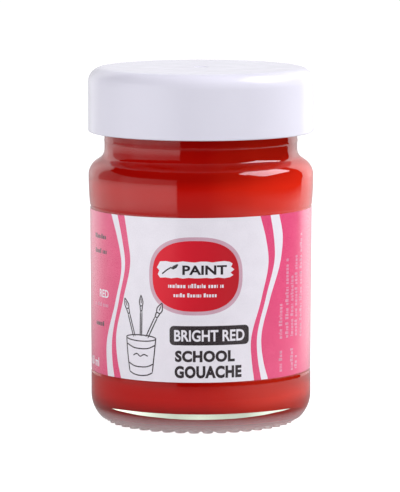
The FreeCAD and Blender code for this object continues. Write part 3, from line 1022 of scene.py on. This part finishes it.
def make_floor():
    """A plain pale floor. What the glass mirrors of it is a painted reflection: a glow seen only by glossy
    rays, only near the jar, and brighter towards the key light.
    """
    mesh = bpy.data.meshes.new("floor")
    mesh.from_pydata([(-6, -6, 0), (6, -6, 0), (6, 6, 0), (-6, 6, 0)], [], [(0, 1, 2, 3)])
    floor = placed("floor", mesh)
    material, nodes, shader, output, place = new_material("pale_floor", Roughness=0.9)
    shader.inputs["Specular IOR Level"].default_value = 0.0
    shader.inputs["Base Color"].default_value = (0.42, 0.42, 0.42, 1.0)
    shader.inputs["Emission Color"].default_value = (1.0, 1.0, 1.0, 1.0)
    path = nodes.add("ShaderNodeLightPath")
    glow = nodes.span(path.outputs["Is Diffuse Ray"], 0.0, 1.0, FLOOR_GLOW, FLOOR_FILL)
    nodes.link(glow, shader.inputs["Emission Strength"])
    apart = nodes.apart(place)
    # painted reflection: for glossy rays the floor is an emission, brighter towards the key light on the
    # right, that fades to clear away from the jar
    mirrored = nodes.add("ShaderNodeEmission")
    nodes.link(nodes.span(apart["X"], 0.025, 0.095, *TABLE_PAINTED_REFLECTION), mirrored.inputs["Strength"])
    away = nodes.add("ShaderNodeVectorMath", operation="LENGTH")
    nodes.link(place, away.inputs[0])
    clear = nodes.add("ShaderNodeBsdfTransparent")
    faded = nodes.span(away.outputs["Value"], *TABLE_REACH, 0.0, 1.0)
    fading = nodes.mixed(faded, mirrored.outputs["Emission"], clear.outputs["BSDF"])
    reflected = nodes.maths("SUBTRACT", path.outputs["Is Glossy Ray"], path.outputs["Is Transmission Ray"])
    nodes.link(nodes.mixed(reflected, shader.outputs["BSDF"], fading), output.inputs["Surface"])
    mesh.materials.append(material)


# What shines back from the glass and the lid, by azimuth: 0 is the front, 90 the right, -90 the left.
# Each stop is (azimuth, radiance low down, radiance high up, lowest elevation, highest), in degrees.
MIRRORED = [
    (-180, 0.9, 0.9, 2, 38), (-171, 0.6, 0.7, -70, 38), (-163, 0.6, 0.7, -70, 38),
    (-152, 0.9, 1.2, -70, 38), (-131, 1.1, 1.2, -70, 34), (-127, 1.1, 0.45, -70, 30),
    (-96, 1.2, 0.35, -70, 26), (-84, 1.5, 0.65, -70, 26), (-30, 1.4, 0.45, -70, 26),
    (-25.2, 1.2, 0.42, -70, 26), (-24.2, 0.16, 0.16, -70, -9), (30, 0.16, 0.16, -70, -9),
    (60, 0.3, 0.16, -70, -9.5), (93, 0.6, 0.9, -70, -9.5), (112, 1.0, 1.4, -70, -9),
    (126, 1.3, 1.6, -70, -8), (136, 1.35, 1.7, -70, 32), (145, 1.3, 1.7, -70, 38),
    (163, 0.8, 0.9, -70, 38), (171, 0.6, 0.7, -70, 38), (180, 0.9, 0.9, 2, 38),
]
MIRRORED_BRIGHTEST = 2.4
# Painted reflection of the floor near the jar, from its left to its right
TABLE_PAINTED_REFLECTION = (0.36, 1.1)
TABLE_REACH = (0.07, 0.24)
ROOM_LIGHT = 0.30
FLOOR_GLOW = 0.92
FLOOR_FILL = 0.15
LAMP_COLOUR = (1.0, 0.97, 1.05)
BACKDROP_LIGHT = 1.05
HIGH_UP_FROM = (math.radians(-7), math.radians(-3))
PANEL_EDGE = 1.5 / 180
CAMERA_LENS = 288.1
CAMERA_SHIFT = (-0.0018, 0.0024)
CAMERA_PLACE = (0, -0.8, 0.1319)
CAMERA_DOWN_DEG = 6.875


def azimuth_ramp(nodes, around, values):
    """A value that changes with azimuth through the stops."""
    ramp = nodes.add("ShaderNodeValToRGB")
    nodes.link(around, ramp.inputs["Fac"])
    band = ramp.color_ramp
    while len(band.elements) < len(values):
        band.elements.new(0.5)
    for element, stop, value in zip(band.elements, MIRRORED, values):
        element.position = (stop[0] + 180) / 360
        element.color = (value, value, value, 1.0)
    return ramp.outputs["Color"]


def make_studio():
    """White surroundings. What glass and plastic mirror is a ring of panels round the table: dark in
    front, on the left white low down and grey higher up, and brightest on the right and behind."""
    world = bpy.data.worlds.new("studio")
    bpy.context.scene.world = world
    world.use_nodes = True
    nodes = Nodes(world.node_tree)
    direction = nodes.apart(nodes.add("ShaderNodeTexCoord").outputs["Generated"])
    forward = nodes.maths("MULTIPLY", direction["Y"], -1.0)
    azimuth = nodes.maths("ARCTAN2", direction["X"], forward)
    around = nodes.span(azimuth, -math.pi, math.pi, 0.0, 1.0)
    low_down = azimuth_ramp(nodes, around, [stop[1] / MIRRORED_BRIGHTEST for stop in MIRRORED])
    high_up = azimuth_ramp(nodes, around, [stop[2] / MIRRORED_BRIGHTEST for stop in MIRRORED])
    elevation = nodes.maths("ARCSINE", direction["Z"])
    height = nodes.span(elevation, -math.pi / 2, math.pi / 2, 0.0, 1.0)
    lowest = azimuth_ramp(nodes, around, [(stop[3] + 90) / 180 for stop in MIRRORED])
    highest = azimuth_ramp(nodes, around, [(stop[4] + 90) / 180 for stop in MIRRORED])
    over = nodes.span(nodes.maths("SUBTRACT", height, lowest), -PANEL_EDGE, PANEL_EDGE, 0.0, 1.0)
    under = nodes.span(nodes.maths("SUBTRACT", height, highest), -PANEL_EDGE, PANEL_EDGE, 1.0, 0.0)
    radiance = nodes.add("ShaderNodeMix", data_type="RGBA")
    raised = nodes.span(elevation, *HIGH_UP_FROM, 0.0, 1.0)
    nodes.link(raised, radiance.inputs["Factor"])
    nodes.link(low_down, radiance.inputs["A"])
    nodes.link(high_up, radiance.inputs["B"])
    panels = nodes.add("ShaderNodeBackground")
    nodes.link(radiance.outputs["Result"], panels.inputs["Color"])
    nodes.link(nodes.maths("MULTIPLY", nodes.maths("MULTIPLY", over, under), MIRRORED_BRIGHTEST),
               panels.inputs["Strength"])

    room = nodes.add("ShaderNodeBackground")
    room.inputs["Color"].default_value = (*LAMP_COLOUR, 1.0)
    room.inputs["Strength"].default_value = ROOM_LIGHT
    backdrop = nodes.add("ShaderNodeBackground")
    backdrop.inputs["Color"].default_value = (1.0, 1.0, 1.0, 1.0)
    backdrop.inputs["Strength"].default_value = BACKDROP_LIGHT
    path = nodes.add("ShaderNodeLightPath")
    surface = room.outputs[0]
    seen_by = {"Is Camera Ray": backdrop, "Is Transmission Ray": backdrop, "Is Glossy Ray": panels}
    for ray, shader in seen_by.items():
        surface = nodes.mixed(path.outputs[ray], surface, shader.outputs[0])
    output = nodes.add("ShaderNodeOutputWorld")
    nodes.link(surface, output.inputs["Surface"])


def soft_light(name, azimuth_deg, elevation_deg, distance, width, height, radiance, mirrored=False):
    """A soft box that faces the jar. Azimuth 0 is the camera's side, and 90 is to the right."""
    data = bpy.data.lights.new(name, "AREA")
    data.shape = "RECTANGLE"
    data.size = width
    data.size_y = height
    data.energy = radiance * math.pi * width * height
    data.color = LAMP_COLOUR
    light = placed(name, data)
    a, e = math.radians(azimuth_deg), math.radians(elevation_deg)
    away = Vector((math.sin(a) * math.cos(e), -math.cos(a) * math.cos(e), math.sin(e)))
    middle = (Vector(cad_low) + Vector(cad_high)) / 2
    light.location = middle + away * distance
    light.rotation_euler = away.to_track_quat("Z", "Y").to_euler()
    light.visible_camera = False
    light.visible_transmission = False
    light.visible_glossy = mirrored


def make_lights():
    soft_light("key", 98, 49, 0.9, 0.68, 0.5, 7.2, True)
    soft_light("front_fill", 42, 12, 1.0, 0.7, 0.7, 2.2)
    soft_light("left_fill", -62, 12, 0.9, 0.7, 0.5, 3.7)


def make_camera():
    """The view from the front: nearly level, from a little above the lid, through a long lens."""
    data = bpy.data.cameras.new("camera")
    data.sensor_width = 36.0
    data.lens = CAMERA_LENS
    data.shift_x, data.shift_y = CAMERA_SHIFT
    data.clip_end = 50.0
    camera = placed("camera", data)
    camera.location = CAMERA_PLACE
    camera.rotation_euler = (math.radians(90 - CAMERA_DOWN_DEG), 0, 0)
    bpy.context.scene.camera = camera


def main():
    scene = bpy.context.scene
    scene.view_settings.view_transform = "Standard"
    scene.cycles.use_denoising = True
    scene.cycles.max_bounces = 24
    scene.cycles.transmission_bounces = 20
    scene.cycles.transparent_max_bounces = 16
    scene.cycles.caustics_reflective = False
    scene.cycles.caustics_refractive = False

    white = paper_material("label_white", (0.85, 0.835, 0.86), (0.88, 0.865, 0.89))
    pink = paper_material("ink_pink", (0.785, 0.064, 0.190), (0.815, 0.071, 0.203))
    pale = paper_material("ink_pale", (0.62, 0.38, 0.45), (0.66, 0.42, 0.49))
    faint = paper_material("ink_faint", (0.78, 0.30, 0.42), (0.81, 0.33, 0.45))
    dark = paper_material("ink_dark", (0.022, 0.014, 0.018), (0.030, 0.020, 0.024))

    make_glass(glass_material())
    make_paint(paint_material())
    make_lid(lid_material())
    make_board(board_material())
    make_facing(film_material())
    make_label(white, pink)
    print_badge(pale, badge_material(BADGE_U - BADGE_HALF_WIDTH, BADGE_U + BADGE_HALF_WIDTH))
    print_band(white)
    print_pill(dark, white)
    print_words(dark)
    print_drawing(dark)
    print_sides(dark, white, faint)

    make_floor()
    make_studio()
    make_lights()
    make_camera()


main()
